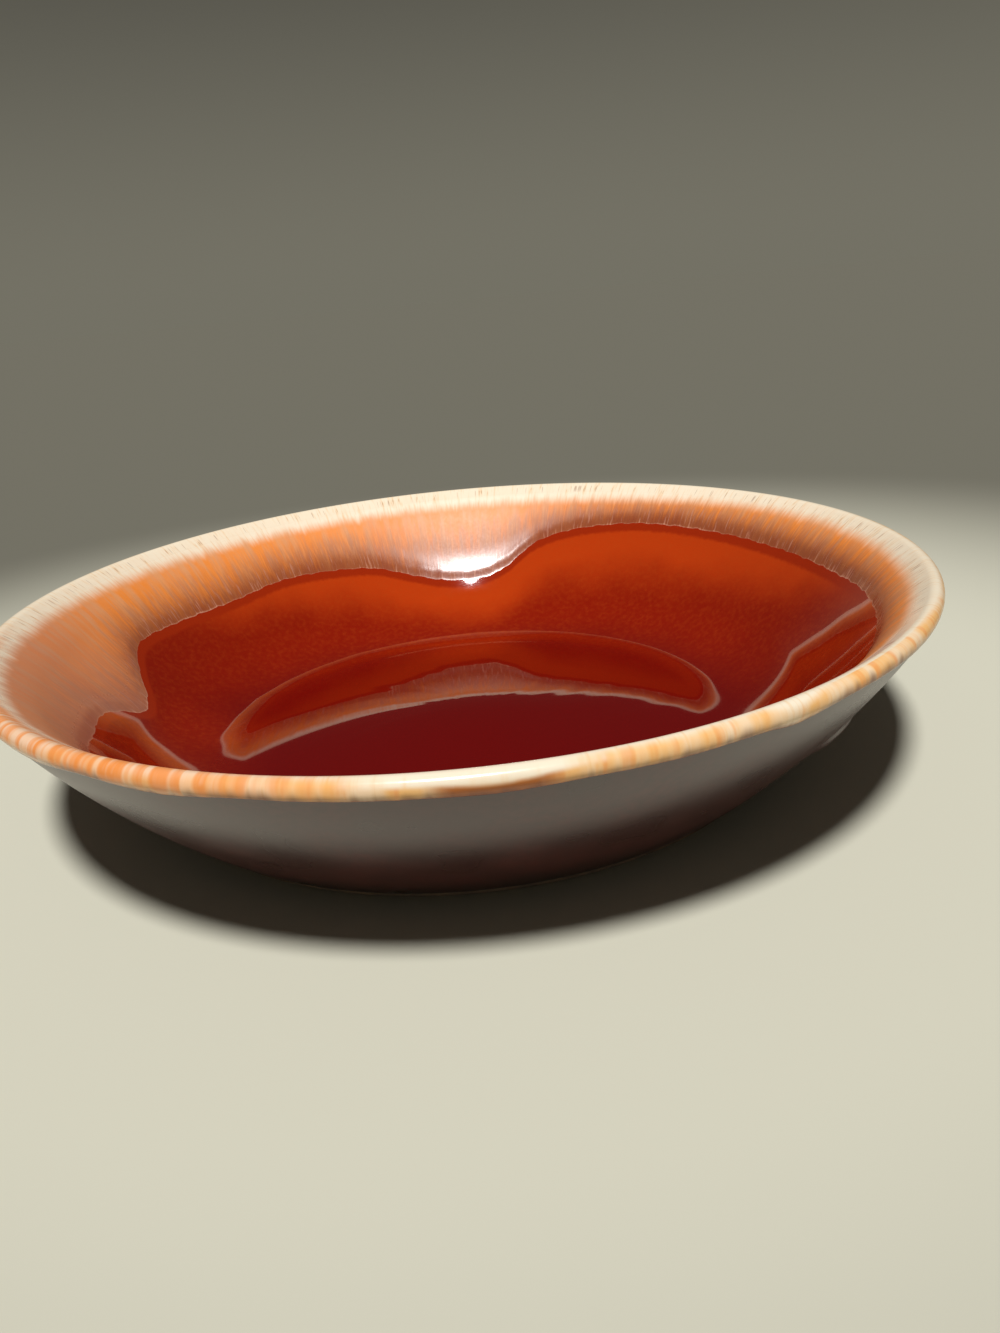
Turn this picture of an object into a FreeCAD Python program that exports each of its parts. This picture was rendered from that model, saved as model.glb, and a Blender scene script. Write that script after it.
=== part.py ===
import FreeCAD, Part
import math
import os
from collections import namedtuple

import Sketcher

# A shallow glazed stoneware bowl in millimetres, standing on z = 0 with its axis on Z.
# The potter's layers are separate solids that meet face to face: clay, foot, brown coats, rim coat.

Vector = FreeCAD.Vector

doc = FreeCAD.newDocument("bowl")

# Driving dimensions, in millimetres, and angles from the level in degrees
DRIVING_SIZES = [
    # the whole bowl
    ("bowl_height", 44.6),
    ("rim_radius", 112.0),        # to the middle of the rolled lip
    # clay lip
    ("lip_roll_radius", 1.2),
    ("lip_inner_angle", 34.0),    # slope where the lip meets the inside
    ("lip_outer_angle", 58.0),    # slope where the lip meets the outside
    # inside of the clay, from the lip down to the middle of the floor
    ("flare_radius", 43.5),
    ("flare_angle", 52.0),
    ("wall_angle", 46.5),
    ("knuckle_radius", 32.5),
    ("floor_angle", 3.7),         # the floor falls this much from the middle to the knuckle
    ("floor_dome_radius", 260.0),
    ("floor_thickness", 3.3),     # of clay above the foot, where the floor meets the knuckle
    # outside of the clay
    ("belly_radius", 165.0),
    # underside and foot
    ("foot_height", 2.0),
    ("foot_inset", 1.0),          # step from the glazed outside in to the foot
    ("foot_width", 7.0),
    ("foot_round_radius", 0.7),
    ("base_rise", 1.4),
    # glaze
    ("brown_coat", 0.4),
    ("rim_coat", 0.45),
    ("drip_reach", 28.0),         # how far in from the rim the longest drip could run
    ("run_limit_angle", 30.0),    # the rim coat never runs further down the knuckle than this slope
    ("skirt_limit_angle", 56.3),  # the same on the outside
    ("skirt_drop", 2.0),          # mean depth of the outer edge under the middle of the lip
    ("skirt_wave", 0.9),          # how far the outer edge swings up and down
    ("cut_overrun", 1.0),
]

# Inner drip edge of the rim coat: compass angle in degrees, run from the rim as a share of drip_reach
DRIP_EDGE_SHARES = [
    (15, 0.44), (30, 0.42), (44, 0.41), (54, 0.44), (62, 0.50), (68, 0.60), (73, 0.77),
    (79, 0.87), (87, 0.86), (93, 0.79), (101, 0.67), (110, 0.62), (120, 0.60), (132, 0.64),
    (146, 0.63), (157, 0.64), (162, 0.77), (167, 0.93), (172, 0.98), (177, 0.86), (182, 0.77),
    (192, 0.73), (201, 0.65), (215, 0.58), (228, 0.55), (241, 0.63), (252, 0.78), (261, 0.81),
    (271, 0.70), (284, 0.58), (300, 0.51), (316, 0.46), (330, 0.43), (346, 0.42), (360, 0.44),
]

# Outer edge of the rim coat: compass angle in degrees, height as a share of skirt_wave
SKIRT_EDGE_SHARES = [
    (14, -0.2), (29, 0.4), (43, 0.1), (58, -0.6), (71, 0.2), (86, 0.6), (100, -0.3),
    (117, -0.8), (131, 0.3), (144, 0.5), (160, -0.4), (175, -0.1), (188, 0.5), (203, 0.2),
    (219, -0.9), (227, 0.7), (236, -0.5), (244, 0.6), (251, 0.2), (260, 0.0), (266, -0.4),
    (273, 0.3), (281, 0.1), (289, 0.4), (293, -0.7), (299, 0.8), (307, 0.9), (318, 0.3),
    (331, -0.3), (346, 0.1), (360, 0.5),
]


def fill_sheet(sheet, rows):
    """Write one row for each size: its name in column A, its value or formula in column B."""
    for row, (name, value) in enumerate(rows, start=1):
        sheet.set(f"A{row}", name)
        sheet.set(f"B{row}", str(value))
        sheet.setAlias(f"B{row}", name)


sizes = doc.addObject("Spreadsheet::Sheet", "Sizes")
fill_sheet(sizes, DRIVING_SIZES)
doc.recompute()


# Derived places

# The clay profile is a chain of tangent arcs. Each corner has a place on the clay and the angle of
# the profile's slope there, so that every coat is the same chain moved out along the normal.
Corner = namedtuple("Corner", "name angle side")
INSIDE = -1
OUTSIDE = 1
CORNERS = [
    Corner("floor_middle", "0", INSIDE),
    Corner("floor_edge", "-Sizes.floor_angle", INSIDE),
    Corner("knuckle_start", "-Sizes.floor_angle", INSIDE),
    Corner("run_limit", "Sizes.run_limit_angle", INSIDE),
    Corner("knuckle_end", "Sizes.wall_angle", INSIDE),
    Corner("wall_end", "Sizes.flare_angle", INSIDE),
    Corner("lip_inside", "Sizes.lip_inner_angle", INSIDE),
    Corner("lip_top", "0", INSIDE),
    Corner("lip_outside", "Sizes.lip_outer_angle", OUTSIDE),
    Corner("skirt_limit", "Sizes.skirt_limit_angle", OUTSIDE),
]
LAYERS = {
    "clay": "0",
    "brown": "Sizes.brown_coat",
    "rim": "(Sizes.brown_coat + Sizes.rim_coat)",
}


def step_out(radius, high, low):
    """Horizontal run of an arc between two slopes."""
    return f"Sizes.{radius} * (sin({high}) - sin({low}))"


def step_up(radius, low, high):
    """Rise of an arc between two slopes."""
    return f"Sizes.{radius} * (cos({low}) - cos({high}))"


def clay_places():
    """Formulas for the corners of the clay profile, from the lip down."""
    lip_in = "Sizes.lip_inner_angle"
    lip_out = "Sizes.lip_outer_angle"
    flare = "Sizes.flare_angle"
    wall = "Sizes.wall_angle"
    run = "Sizes.run_limit_angle"
    skirt = "Sizes.skirt_limit_angle"
    fall = "Sizes.floor_angle"
    return [
        ("lip_middle", "=Sizes.bowl_height - Sizes.lip_roll_radius - Sizes.brown_coat - Sizes.rim_coat"),
        ("lip_top_across", "=Sizes.rim_radius"),
        ("lip_top_up", "=lip_middle + Sizes.lip_roll_radius"),
        ("lip_inside_across", f"=Sizes.rim_radius - Sizes.lip_roll_radius * sin({lip_in})"),
        ("lip_inside_up", f"=lip_middle + Sizes.lip_roll_radius * cos({lip_in})"),
        ("lip_outside_across", f"=Sizes.rim_radius + Sizes.lip_roll_radius * sin({lip_out})"),
        ("lip_outside_up", f"=lip_middle - Sizes.lip_roll_radius * cos({lip_out})"),
        ("wall_end_across", "=lip_inside_across - " + step_out("flare_radius", flare, lip_in)),
        ("wall_end_up", "=lip_inside_up - " + step_up("flare_radius", lip_in, flare)),
        ("knuckle_start_up", "=Sizes.foot_height + Sizes.floor_thickness"),
        ("knuckle_end_up", "=knuckle_start_up + " + step_up("knuckle_radius", fall, wall)),
        ("wall_radius", f"=(wall_end_up - knuckle_end_up) / (cos({wall}) - cos({flare}))"),
        ("knuckle_end_across", f"=wall_end_across - wall_radius * (sin({flare}) - sin({wall}))"),
        ("run_limit_across", "=knuckle_end_across - " + step_out("knuckle_radius", wall, run)),
        ("run_limit_up", "=knuckle_end_up - " + step_up("knuckle_radius", run, wall)),
        ("knuckle_start_across", f"=knuckle_end_across - Sizes.knuckle_radius * (sin({wall}) + sin({fall}))"),
        ("floor_edge_across", f"=Sizes.floor_dome_radius * sin({fall})"),
        ("floor_edge_up", f"=knuckle_start_up + (knuckle_start_across - floor_edge_across) * tan({fall})"),
        ("floor_middle_across", "=0"),
        ("floor_middle_up", f"=floor_edge_up + Sizes.floor_dome_radius * (1 - cos({fall}))"),
        ("skirt_limit_across", "=lip_outside_across - " + step_out("belly_radius", lip_out, skirt)),
        ("skirt_limit_up", "=lip_outside_up - " + step_up("belly_radius", skirt, lip_out)),
        ("belly_centre_across", f"=lip_outside_across - Sizes.belly_radius * sin({lip_out})"),
        ("belly_centre_up", f"=lip_outside_up + Sizes.belly_radius * cos({lip_out})"),
    ]


def coat_places():
    """Formulas for the same corners on each layer, moved out along the normal."""
    rows = []
    for layer, depth in LAYERS.items():
        for corner in CORNERS:
            across = f"={corner.name}_across + {corner.side} * {depth} * sin({corner.angle})"
            up = f"={corner.name}_up - {corner.side} * {depth} * cos({corner.angle})"
            rows.append((f"{layer}_{corner.name}_across", across))
            rows.append((f"{layer}_{corner.name}_up", up))
        fall = "(belly_centre_up - Sizes.foot_height)"
        foot = f"=belly_centre_across + sqrt((Sizes.belly_radius + {depth})^2 - {fall}^2)"
        rows.append((f"{layer}_belly_foot_across", foot))
        rows.append((f"{layer}_belly_foot_up", "=Sizes.foot_height"))
        for name in ("flare", "floor_dome", "belly"):
            rows.append((f"{layer}_{name}_radius", f"=Sizes.{name}_radius + {depth}"))
        rows.append((f"{layer}_knuckle_radius", f"=Sizes.knuckle_radius - {depth}"))
        rows.append((f"{layer}_wall_radius", f"=wall_radius - {depth}"))
        rows.append((f"{layer}_lip_radius", f"=Sizes.lip_roll_radius + {depth}"))
    return rows


def foot_places():
    """Formulas for the section of the foot ring, whose lower edges are rounded."""
    rounding = "Sizes.foot_round_radius"
    corners = [
        ("foot_inner_top", "foot_inner_radius", "Sizes.foot_height"),
        ("foot_inner_side", "foot_inner_radius", rounding),
        ("foot_inner_tread", f"foot_inner_radius + {rounding}", "0"),
        ("foot_outer_tread", f"foot_outer_radius - {rounding}", "0"),
        ("foot_outer_side", "foot_outer_radius", rounding),
        ("foot_outer_top", "foot_outer_radius", "Sizes.foot_height"),
    ]
    rows = [
        ("foot_outer_radius", "=clay_belly_foot_across - Sizes.foot_inset"),
        ("foot_inner_radius", "=foot_outer_radius - Sizes.foot_width"),
        ("foot_rounding_radius", f"={rounding}"),
    ]
    for name, across, up in corners:
        rows.append((f"{name}_across", f"={across}"))
        rows.append((f"{name}_up", f"={up}"))
    return rows


def base_places():
    """Formulas for the shallow dome under the floor and for the coat on it, inside the foot ring."""
    rise = "Sizes.base_rise"
    reach = "foot_inner_radius"
    return [
        ("base_dome_radius", f"=({reach}^2 + {rise}^2) / (2 * {rise})"),
        ("base_middle_across", "=0"),
        ("base_middle_up", f"=Sizes.foot_height + {rise}"),
        ("base_edge_across", f"={reach}"),
        ("base_edge_up", "=Sizes.foot_height"),
        ("base_coat_radius", "=base_dome_radius - Sizes.brown_coat"),
        ("base_coat_middle_across", "=0"),
        ("base_coat_middle_up", "=base_middle_up - Sizes.brown_coat"),
        ("base_coat_edge_across", f"={reach}"),
        ("base_coat_edge_up", f"=base_middle_up - base_dome_radius + sqrt(base_coat_radius^2 - {reach}^2)"),
    ]


places = doc.addObject("Spreadsheet::Sheet", "Places")
fill_sheet(places, clay_places() + coat_places() + foot_places() + base_places())
doc.recompute()


def place(name):
    """Value of a derived place or size."""
    return float(getattr(places, name))


def size(name):
    """Value of a driving dimension."""
    return float(getattr(sizes, name))


# Outlines

# An edge runs from one corner to the next. A round one names its radius and the side of its centre.
Edge = namedtuple("Edge", "start end radius centre")
ABOVE = 1
BELOW = -1


def line(start, end):
    """A straight edge between two corners."""
    return Edge(start, end, None, None)


def arc(start, end, radius, centre):
    """A round edge between two corners, under half a turn."""
    return Edge(start, end, radius, centre)


def corner_point(name):
    """A corner in the plane of the outline: x is the distance from the axis, y the height."""
    return Vector(place(f"{name}_across"), place(f"{name}_up"), 0)


def arc_centre(start, end, radius, side):
    """Centre of an arc through two points, on the upper or the lower side of its chord."""
    middle = (start + end) / 2
    chord = end - start
    square = Vector(-chord.y, chord.x, 0).normalize()
    reach = square * math.sqrt(radius ** 2 - (chord.Length / 2) ** 2)
    if reach.y * side < 0:
        reach = -reach
    return middle + reach


def bind(sketch, kind, references, alias):
    """Add a dimension to a sketch, with its value taken from a named place."""
    index = sketch.addConstraint(Sketcher.Constraint(kind, *references, place(alias)))
    name = f"{alias}_{index}"
    sketch.renameConstraint(index, name)
    sketch.setExpression(f"Constraints.{name}", f"Places.{alias}")


def pin_corner(sketch, geometry, end, name):
    """Hold one end of an edge at its corner, on an axis where the place is zero."""
    origin = (-1, 1)
    level_axis = -1
    upright_axis = -2
    if place(f"{name}_across") == 0:
        sketch.addConstraint(Sketcher.Constraint("PointOnObject", geometry, end, upright_axis))
    else:
        bind(sketch, "DistanceX", (*origin, geometry, end), f"{name}_across")
    if place(f"{name}_up") == 0:
        sketch.addConstraint(Sketcher.Constraint("PointOnObject", geometry, end, level_axis))
    else:
        bind(sketch, "DistanceY", (*origin, geometry, end), f"{name}_up")


def add_edge(sketch, edge):
    """Draw one edge and give back its number and which of its ends comes first and last."""
    start = corner_point(edge.start)
    end = corner_point(edge.end)
    if edge.radius is None:
        return sketch.addGeometry(Part.LineSegment(start, end)), 1, 2
    centre = arc_centre(start, end, place(edge.radius), edge.centre)
    circle = Part.Circle(centre, Vector(0, 0, 1), place(edge.radius))
    spoke_in = start - centre
    spoke_out = end - centre
    turn_in = math.atan2(spoke_in.y, spoke_in.x)
    turn_out = math.atan2(spoke_out.y, spoke_out.x)
    anticlockwise = spoke_in.cross(spoke_out).z > 0
    if anticlockwise:
        geometry = sketch.addGeometry(Part.ArcOfCircle(circle, turn_in, turn_out))
        first, last = 1, 2
    else:
        geometry = sketch.addGeometry(Part.ArcOfCircle(circle, turn_out, turn_in))
        first, last = 2, 1
    bind(sketch, "Radius", (geometry,), edge.radius)
    return geometry, first, last


def body_plane(body, role):
    """One of the body's own origin planes."""
    return next(item for item in body.Origin.OriginFeatures if item.Role == role)


def add_sketch(body, name, role):
    """An empty sketch on one of the body's own planes."""
    sketch = body.newObject("Sketcher::SketchObject", name)
    sketch.AttachmentSupport = [(body_plane(body, role), "")]
    sketch.MapMode = "FlatFace"
    return sketch


def turned_body(name, edges):
    """A body turned about the upright axis from a closed outline."""
    body = doc.addObject("PartDesign::Body", name)
    body.Label = name
    sketch = add_sketch(body, f"{name}_section", "XZ_Plane")
    drawn = [add_edge(sketch, edge) for edge in edges]
    for edge, (geometry, first, _) in zip(edges, drawn):
        pin_corner(sketch, geometry, first, edge.start)
    for (geometry, _, last), (following, first, _) in zip(drawn, drawn[1:] + drawn[:1]):
        sketch.addConstraint(Sketcher.Constraint("Coincident", geometry, last, following, first))
    turning = body.newObject("PartDesign::Revolution", f"{name}_turning")
    turning.Profile = sketch
    turning.ReferenceAxis = (sketch, ["V_Axis"])
    turning.Angle = 360
    body.Tip = turning
    doc.recompute()
    return body


def inside_edges(layer):
    """The inside of one layer, from the middle of the floor up to the top of the lip."""
    return [
        arc(f"{layer}_floor_middle", f"{layer}_floor_edge", f"{layer}_floor_dome_radius", BELOW),
        line(f"{layer}_floor_edge", f"{layer}_knuckle_start"),
        arc(f"{layer}_knuckle_start", f"{layer}_knuckle_end", f"{layer}_knuckle_radius", ABOVE),
    ] + upper_inside_edges(layer)


def upper_inside_edges(layer):
    """The inside of one layer from the end of the knuckle up to the top of the lip."""
    return [
        arc(f"{layer}_knuckle_end", f"{layer}_wall_end", f"{layer}_wall_radius", ABOVE),
        arc(f"{layer}_wall_end", f"{layer}_lip_inside", f"{layer}_flare_radius", BELOW),
        arc(f"{layer}_lip_inside", f"{layer}_lip_top", f"{layer}_lip_radius", BELOW),
    ]


def outside_edges(layer, lowest):
    """The outside of one layer from the top of the lip down to a named corner."""
    return [
        arc(f"{layer}_lip_top", f"{layer}_lip_outside", f"{layer}_lip_radius", BELOW),
        arc(f"{layer}_lip_outside", f"{layer}_{lowest}", f"{layer}_belly_radius", ABOVE),
    ]


def backwards(edges):
    """The same edges, run the other way."""
    return [Edge(edge.end, edge.start, edge.radius, edge.centre) for edge in reversed(edges)]


# Clay

def make_clay_body():
    """The thrown wall and floor, with a rolled lip and a shallow dome under the floor."""
    edges = inside_edges("clay") + outside_edges("clay", "belly_foot")
    edges.append(line("clay_belly_foot", "base_edge"))
    edges.append(arc("base_edge", "base_middle", "base_dome_radius", BELOW))
    edges.append(line("base_middle", "clay_floor_middle"))
    return turned_body("clay_body", edges)


def make_foot_ring():
    """The low ring of bare clay that the bowl stands on."""
    edges = [
        line("foot_inner_top", "foot_inner_side"),
        arc("foot_inner_side", "foot_inner_tread", "foot_rounding_radius", ABOVE),
        line("foot_inner_tread", "foot_outer_tread"),
        arc("foot_outer_tread", "foot_outer_side", "foot_rounding_radius", ABOVE),
        line("foot_outer_side", "foot_outer_top"),
        line("foot_outer_top", "foot_inner_top"),
    ]
    return turned_body("foot_ring", edges)


# Brown coats

def make_inside_glaze():
    """The coat poured over the floor and up the inside, to the middle of the lip."""
    edges = inside_edges("clay")
    edges.append(line("clay_lip_top", "brown_lip_top"))
    edges += backwards(inside_edges("brown"))
    edges.append(line("brown_floor_middle", "clay_floor_middle"))
    return turned_body("inside_glaze", edges)


def make_outside_glaze():
    """The coat on the outside, from the middle of the lip to the foot."""
    edges = outside_edges("clay", "belly_foot")
    edges.append(line("clay_belly_foot", "brown_belly_foot"))
    edges += backwards(outside_edges("brown", "belly_foot"))
    edges.append(line("brown_lip_top", "clay_lip_top"))
    return turned_body("outside_glaze", edges)


def make_base_glaze():
    """The coat on the dome under the floor, inside the foot ring."""
    edges = [
        arc("base_middle", "base_edge", "base_dome_radius", BELOW),
        line("base_edge", "base_coat_edge"),
        arc("base_coat_edge", "base_coat_middle", "base_coat_radius", BELOW),
        line("base_coat_middle", "base_middle"),
    ]
    return turned_body("base_glaze", edges)


# Rim coat

def wave_spans(points):
    """A smooth closed curve through the points, as one piece from each point to the next."""
    curve = Part.BSplineCurve()
    curve.interpolate(Points=points, PeriodicFlag=True)
    knots = curve.getKnots()
    spans = []
    for first, last in zip(knots, knots[1:]):
        span = curve.copy()
        span.segment(first, last)
        spans.append(span)
    return spans


def round_point(turn, radius, height=0):
    """A point at a compass angle, a radius and a height."""
    angle = math.radians(turn)
    return Vector(radius * math.cos(angle), radius * math.sin(angle), height)


def cut_drip_edge(body):
    """Cut away what the rim coat didn't reach inside, along its wavy drip edge."""
    sketch = add_sketch(body, "drip_edge", "XY_Plane")
    points = []
    for turn, share in DRIP_EDGE_SHARES:
        points.append(round_point(turn, size("rim_radius") - share * size("drip_reach")))
    spans = wave_spans(points)
    drawn = [sketch.addGeometry(span) for span in spans]
    for geometry, following in zip(drawn, drawn[1:] + drawn[:1]):
        sketch.addConstraint(Sketcher.Constraint("Coincident", geometry, 2, following, 1))
    whole = body.Shape.Volume
    pocket = body.newObject("PartDesign::Pocket", "drip_edge_cut")
    pocket.Profile = sketch
    pocket.setExpression("Length", "Sizes.bowl_height + Sizes.cut_overrun")
    pocket.Reversed = True
    body.Tip = pocket
    doc.recompute()
    print("rim coat cut at the drip edge from", round(whole), "to", round(body.Shape.Volume), "mm3")


def skirt_spans(radius):
    """The wavy outer edge of the rim coat, drawn at one radius."""
    level = place("lip_middle") - size("skirt_drop")
    points = []
    for turn, share in SKIRT_EDGE_SHARES:
        points.append(round_point(turn, radius, level + share * size("skirt_wave")))
    return [span.toShape() for span in wave_spans(points)]


def make_skirt_cutter():
    """A ring under the lip whose top follows the wavy outer edge of the rim coat."""
    near = place("clay_skirt_limit_across") - size("cut_overrun")
    far = size("rim_radius") + place("rim_lip_radius") + size("cut_overrun")
    depth = place("lip_middle") - place("rim_skirt_limit_up") + size("cut_overrun")
    wedges = []
    for inner, outer in zip(skirt_spans(near), skirt_spans(far)):
        wedges.append(Part.makeRuledSurface(inner, outer).extrude(Vector(0, 0, -depth)))
    cutter = doc.addObject("Part::Feature", "skirt_cutter")
    cutter.Shape = wedges[0].multiFuse(wedges[1:])
    return cutter


def make_rim_glaze():
    """The overglaze on the lip, which ran down the inside and reaches a little way outside."""
    run_inside = [
        arc("brown_run_limit", "brown_knuckle_end", "brown_knuckle_radius", ABOVE),
    ] + upper_inside_edges("brown")
    run_face = [
        arc("rim_run_limit", "rim_knuckle_end", "rim_knuckle_radius", ABOVE),
    ] + upper_inside_edges("rim")
    edges = run_inside + outside_edges("brown", "skirt_limit")
    edges.append(line("brown_skirt_limit", "rim_skirt_limit"))
    edges += backwards(run_face + outside_edges("rim", "skirt_limit"))
    edges.append(line("rim_run_limit", "brown_run_limit"))
    ring = turned_body("rim_coat_ring", edges)
    cut_drip_edge(ring)
    coat = doc.addObject("Part::Cut", "rim_glaze")
    coat.Base = ring
    coat.Tool = make_skirt_cutter()
    coat.Label = "rim_glaze"
    return coat


def write_parts(parts):
    """Check the whole document, then write each sub-part under its own name."""
    doc.recompute()
    for item in doc.Objects:
        if "Invalid" in item.State or "Error" in item.State:
            raise RuntimeError(f"{item.Name} did not recompute: {item.State}")
    for part in parts:
        if part.Shape.isNull() or not part.Shape.isValid():
            raise RuntimeError(f"{part.Label} has no valid shape")
    os.makedirs("parts", exist_ok=True)
    for part in parts:
        part.Shape.exportStep(f"parts/{part.Label}.step")
        box = part.Shape.optimalBoundingBox()
        print(part.Label, "solids", len(part.Shape.Solids), "volume", round(part.Shape.Volume, 1),
              "height", round(box.ZMin, 3), round(box.ZMax, 3), "reach", round(box.XMax, 3))


write_parts([
    make_clay_body(),
    make_foot_ring(),
    make_inside_glaze(),
    make_outside_glaze(),
    make_base_glaze(),
    make_rim_glaze(),
])
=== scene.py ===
import logging
import math
from dataclasses import dataclass
from enum import Enum
from functools import reduce
from typing import Iterator, NamedTuple, Sequence

import bpy
from mathutils import Matrix, Vector


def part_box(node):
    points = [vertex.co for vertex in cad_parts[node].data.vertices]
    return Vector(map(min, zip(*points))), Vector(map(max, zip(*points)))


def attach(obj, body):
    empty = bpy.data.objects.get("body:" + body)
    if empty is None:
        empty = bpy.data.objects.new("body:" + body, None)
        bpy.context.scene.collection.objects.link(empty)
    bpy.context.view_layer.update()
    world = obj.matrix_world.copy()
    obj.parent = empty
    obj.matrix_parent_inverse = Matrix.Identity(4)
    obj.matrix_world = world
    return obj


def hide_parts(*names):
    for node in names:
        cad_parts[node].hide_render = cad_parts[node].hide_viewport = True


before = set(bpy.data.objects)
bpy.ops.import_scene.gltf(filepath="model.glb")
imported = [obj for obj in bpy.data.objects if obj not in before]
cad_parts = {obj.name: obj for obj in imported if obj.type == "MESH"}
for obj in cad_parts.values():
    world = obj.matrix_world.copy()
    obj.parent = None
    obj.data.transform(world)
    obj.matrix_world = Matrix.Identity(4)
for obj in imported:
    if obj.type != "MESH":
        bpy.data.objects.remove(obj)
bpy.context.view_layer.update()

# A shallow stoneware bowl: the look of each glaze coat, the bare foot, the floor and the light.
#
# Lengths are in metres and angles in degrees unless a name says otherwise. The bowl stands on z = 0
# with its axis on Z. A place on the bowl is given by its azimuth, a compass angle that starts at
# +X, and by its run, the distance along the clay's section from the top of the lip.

LOG = logging.getLogger("bowl")
MM = 0.001
WELD = MM / 1000
HALVINGS = 40

Pair = tuple[float, float]
Colour = tuple[float, float, float, float]
Socket = bpy.types.NodeSocket
Value = float | Socket


# Section of the clay


class Side(Enum):
    """The way a section runs from the top of the lip."""

    INSIDE = 1
    OUTSIDE = -1


class Measure(Enum):
    """What a place in a section is measured by, as its number there."""

    RADIUS = 0
    HEIGHT = 1


@dataclass(frozen=True)
class Arc:
    """A round stretch of the section, run from the lip away.

    The normal turns evenly from one angle to another, and a hollow arc has its centre on the glazed
    side of the clay.
    """

    across: float
    up: float
    radius: float
    first_angle: float
    last_angle: float
    hollow: bool

    @property
    def length(self) -> float:
        """Length of the stretch."""
        return self.radius * abs(math.radians(self.last_angle - self.first_angle))

    def at(self, distance: float) -> tuple[float, float, float]:
        """Place on the stretch.

        Args:
            distance: how far along it.

        Returns:
            Radius, height and angle of the normal in radians.
        """
        share = distance / self.length
        angle = math.radians(self.first_angle + share * (self.last_angle - self.first_angle))
        reach = -self.radius if self.hollow else self.radius
        return self.across + reach * math.cos(angle), self.up + reach * math.sin(angle), angle


@dataclass(frozen=True)
class Straight:
    """A straight stretch of the section."""

    across: float
    up: float
    normal_angle: float
    length: float

    def at(self, distance: float) -> tuple[float, float, float]:
        """Place on the stretch, as for an arc."""
        reach, rise = distance * sine(self.normal_angle), distance * cosine(self.normal_angle)
        return self.across - reach, self.up + rise, math.radians(self.normal_angle)


@dataclass(frozen=True)
class ClayShape:
    """Driving sizes of the clay and its coats, the same ones that the solids have."""

    rim_radius: float = 112.0 * MM
    lip_roll_radius: float = 1.2 * MM
    lip_inner_angle: float = 34.0
    lip_outer_angle: float = 58.0
    flare_radius: float = 43.5 * MM
    flare_angle: float = 52.0
    wall_angle: float = 46.5
    knuckle_radius: float = 32.5 * MM
    floor_angle: float = 3.7
    floor_dome_radius: float = 260.0 * MM
    floor_thickness: float = 3.3 * MM
    belly_radius: float = 165.0 * MM
    foot_inset: float = 1.0 * MM
    foot_width: float = 7.0 * MM
    foot_round_radius: float = 0.7 * MM
    base_rise: float = 1.4 * MM
    brown_coat: float = 0.4 * MM
    rim_coat: float = 0.45 * MM
    drip_reach: float = 28.0 * MM
    skirt_drop: float = 2.0 * MM
    skirt_wave: float = 0.9 * MM
    bowl_height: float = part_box("rim_glaze")[1][2]
    foot_height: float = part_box("foot_ring")[1][2]

    @property
    def lip_middle(self) -> float:
        """Height of the centre of the lip's roll."""
        return self.bowl_height - self.lip_roll_radius - self.brown_coat - self.rim_coat

    def lip_arc(self, side: Side) -> Arc:
        """The lip's roll, from its top to where the wall begins."""
        last = 90 + self.lip_inner_angle if side is Side.INSIDE else self.lip_outer_angle - 90
        return Arc(self.rim_radius, self.lip_middle, self.lip_roll_radius, 90, last, False)

    def inside(self) -> "Section":
        """Lay out the inside.

        Returns:
            The section from the top of the lip down to the middle of the floor.
        """
        lip = self.lip_arc(Side.INSIDE)
        flare = follow(lip, self.flare_radius, 90 + self.flare_angle, False)
        knuckle_rise = self.knuckle_radius * (cosine(self.floor_angle) - cosine(self.wall_angle))
        wall_end_up = flare.at(flare.length)[1]
        wall_rise = wall_end_up - knuckle_rise - self.foot_height - self.floor_thickness
        wall_radius = wall_rise / (cosine(self.wall_angle) - cosine(self.flare_angle))
        wall = follow(flare, wall_radius, 90 + self.wall_angle, True)
        knuckle = follow(wall, self.knuckle_radius, 90 - self.floor_angle, True)
        across, up, _ = knuckle.at(knuckle.length)
        reach = across - self.floor_dome_radius * sine(self.floor_angle)
        floor = Straight(across, up, 90 - self.floor_angle, reach / cosine(self.floor_angle))
        dome = follow(floor, self.floor_dome_radius, 90, False)
        return Section([lip, flare, wall, knuckle, floor, dome])

    def outside(self) -> "Section":
        """Lay out the outside.

        Returns:
            The section from the top of the lip down to the foot.
        """
        lip = self.lip_arc(Side.OUTSIDE)
        centre_up = lip.at(lip.length)[1] + self.belly_radius * cosine(self.lip_outer_angle)
        foot_angle = math.degrees(math.asin((self.foot_height - centre_up) / self.belly_radius))
        return Section([lip, follow(lip, self.belly_radius, foot_angle, False)])

    def foot_radii(self) -> Pair:
        """Work out where the foot ring stands.

        Returns:
            Its inner and outer radius.
        """
        section = self.outside()
        outer = section.at(section.length)[0] - self.foot_inset
        return outer - self.foot_width, outer


def sine(angle: float) -> float:
    """Sine of an angle in degrees."""
    return math.sin(math.radians(angle))


def cosine(angle: float) -> float:
    """Cosine of an angle in degrees."""
    return math.cos(math.radians(angle))


def follow(before: Arc | Straight, radius: float, last_angle: float, hollow: bool) -> Arc:
    """The arc that goes on from a stretch without a kink.

    Args:
        before: the stretch that it follows.
        radius: its radius.
        last_angle: where its normal ends.
        hollow: True if its centre is on the glazed side.

    Returns:
        The arc.
    """
    across, up, angle = before.at(before.length)
    reach = radius if hollow else -radius
    centre = (across + reach * math.cos(angle), up + reach * math.sin(angle))
    return Arc(*centre, radius, math.degrees(angle), last_angle, hollow)


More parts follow.
